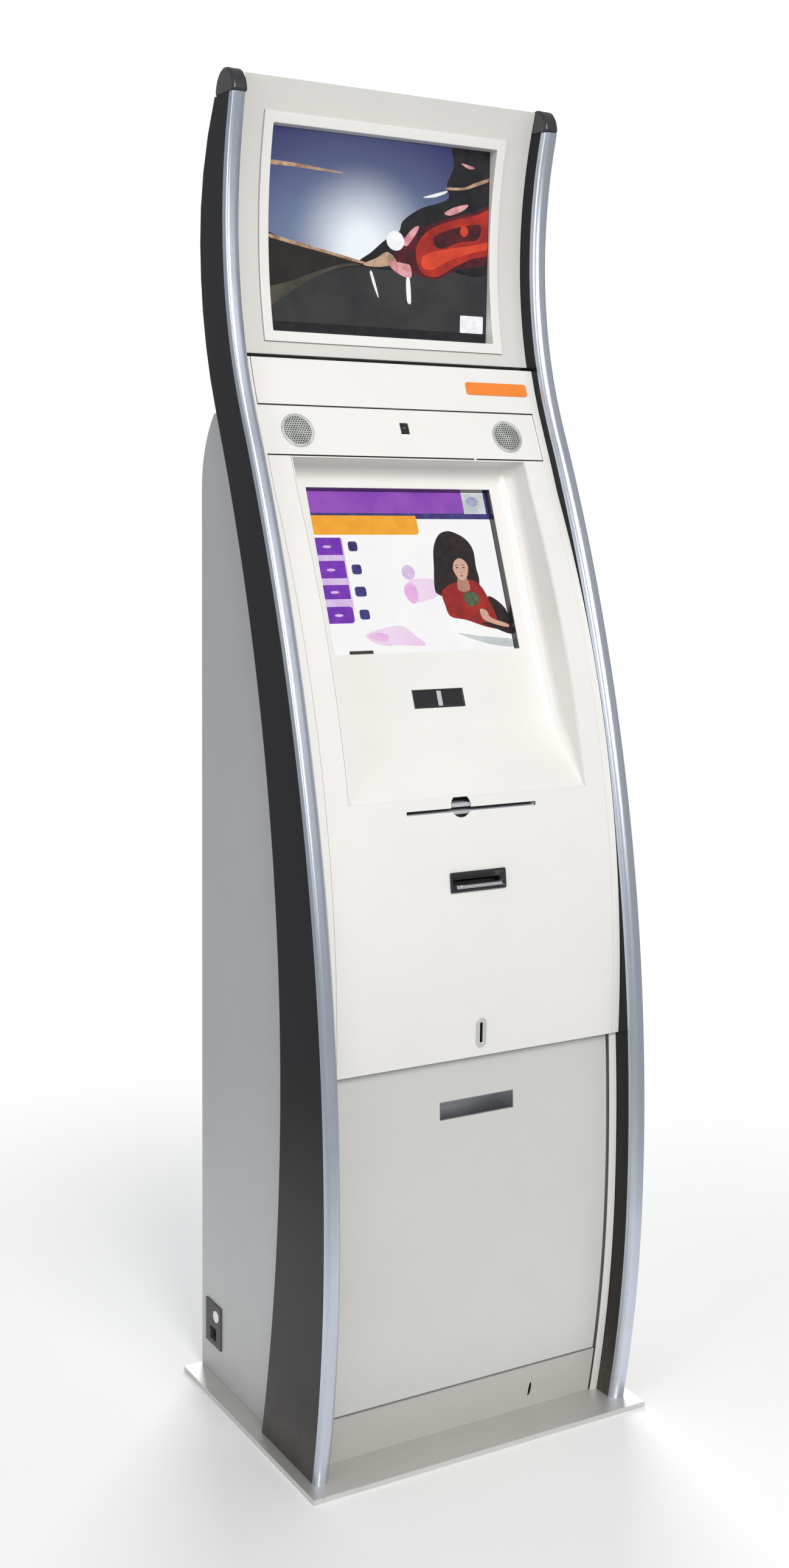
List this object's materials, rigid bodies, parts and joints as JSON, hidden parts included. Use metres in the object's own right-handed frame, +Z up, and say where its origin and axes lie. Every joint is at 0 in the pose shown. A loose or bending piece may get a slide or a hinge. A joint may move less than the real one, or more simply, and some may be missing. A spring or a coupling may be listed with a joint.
{
  "type": "ticket vending machine",
  "caption": "Free-standing ticket vending machine with curved side fins, an upper display, a recessed touch screen, paper and ticket outlets, a coin slot and a return pocket.",
  "frame": {"origin": "middle of the underside of the base plate, on the floor", "axes": "+Z up; +X to the right of a user facing the machine; +Y from the front to the back"},
  "size_m": [0.618, 0.474, 2.098],
  "materials": {
    "base_steel": "satin",
    "cabinet_paint": "satin",
    "fin_black": "gloss",
    "trim_silver": "satin",
    "cap_black": "matte",
    "panel_white": "satin",
    "head_grey": "satin",
    "door_grey": "satin",
    "kick_grey": "satin",
    "label_orange": "satin",
    "grille_grey": "matte",
    "screen_glass": "gloss",
    "window_black": "gloss",
    "bezel_black": "gloss",
    "bright_steel": "polished",
    "fastener_steel": "satin",
    "device_grey": "matte",
    "tray_grey": "matte",
    "roller_rubber": "matte",
    "paper_white": "matte",
    "device_metal": "satin",
    "zinc_sheet": "satin",
    "cash_paint": "satin",
    "coin_plastic": "matte",
    "switch_white": "gloss"
  },
  "bodies": {
    "cabinet": {"base_plate": "base_steel", "cabinet_shell": "cabinet_paint", "head_cover": "cabinet_paint", "left_fin": "fin_black", "right_fin": "fin_black", "left_trim": "trim_silver", "right_trim": "trim_silver", "fin_caps": "cap_black", "touch_frame_ring": "cap_black", "left_rail": "panel_white", "right_rail": "panel_white", "mid_panel": "panel_white", "label_band": "panel_white", "speaker_band": "panel_white", "touch_bay": "panel_white", "head_frame": "panel_white", "head_panel": "head_grey", "kick_plate": "kick_grey", "label_strip": "label_orange", "speaker_grilles": "grille_grey", "upper_glass": "screen_glass", "touch_glass": "screen_glass", "scanner_window": "window_black", "camera_lens": "window_black", "ticket_bezel": "bezel_black", "ticket_lip": "bright_steel", "coin_plate": "bright_steel", "roll_bracket": "bright_steel", "coin_chutes": "bright_steel", "fin_bolts": "fastener_steel", "foot_screws": "fastener_steel", "document_printer": "device_grey", "ticket_printer": "device_grey", "scanner_module": "device_grey", "speaker_drivers": "device_grey", "camera_body": "device_grey", "upper_display": "device_grey", "touch_display": "device_grey", "inlet_module": "device_grey", "paper_tray": "tray_grey", "computer": "device_metal", "power_supply": "device_metal", "display_mounts": "device_metal", "lower_shelf": "zinc_sheet", "printer_shelf": "zinc_sheet", "door_header": "zinc_sheet", "cash_box": "cash_paint", "coin_acceptor": "coin_plastic"},
    "lower_door": {"lower_door": "door_grey", "door_latch": "zinc_sheet", "return_cup": "bright_steel"},
    "latch_bolt": {"latch_bolt": "bright_steel"},
    "rear_door": {"rear_door": "cabinet_paint", "fan_frame": "device_grey"},
    "rear_lock": {"rear_lock": "bright_steel"},
    "fan_rotor": {"fan_rotor": "device_grey"},
    "exit_roller": {"exit_roller": "roller_rubber"},
    "platen_roller": {"platen_roller": "roller_rubber"},
    "paper_roll": {"paper_roll": "paper_white"},
    "mains_switch": {"mains_switch": "switch_white"}
  },
  "joints": [
    {"name": "lower_door_hinge", "type": "hinge", "parent": "cabinet", "child": "lower_door", "pos_m": [0.128, -0.162, 0.35], "axis": [0, 0, 1], "range_deg": [0, 100]},
    {"name": "latch_slide", "type": "slide", "parent": "lower_door", "child": "latch_bolt", "axis": [-1, 0, 0], "range_m": [0, 0.009]},
    {"name": "rear_door_hinge", "type": "hinge", "parent": "cabinet", "child": "rear_door", "pos_m": [0.231, 0.226, 0.76], "axis": [0, 0, -1], "range_deg": [0, 110]},
    {"name": "rear_lock_turn", "type": "hinge", "parent": "rear_door", "child": "rear_lock", "pos_m": [-0.2355, 0.225, 0.8], "axis": [0, 1, 0], "range_deg": [0, 90]},
    {"name": "fan_spin", "type": "hinge", "parent": "rear_door", "child": "fan_rotor", "pos_m": [0, 0.222, 1.38], "axis": [0, 1, 0], "continuous": true},
    {"name": "exit_roller_spin", "type": "hinge", "parent": "cabinet", "child": "exit_roller", "pos_m": [0, -0.109, 1.0035], "axis": [1, 0, 0], "continuous": true},
    {"name": "platen_spin", "type": "hinge", "parent": "cabinet", "child": "platen_roller", "pos_m": [0, -0.125, 0.8945], "axis": [1, 0, 0], "continuous": true},
    {"name": "paper_roll_spin", "type": "hinge", "parent": "cabinet", "child": "paper_roll", "pos_m": [0, -0.012, 0.8], "axis": [1, 0, 0], "continuous": true},
    {"name": "mains_switch_rock", "type": "hinge", "parent": "cabinet", "child": "mains_switch", "pos_m": [-0.274, 0.175, 0.116], "axis": [0, 1, 0], "range_deg": [0, 8]}
  ]
}
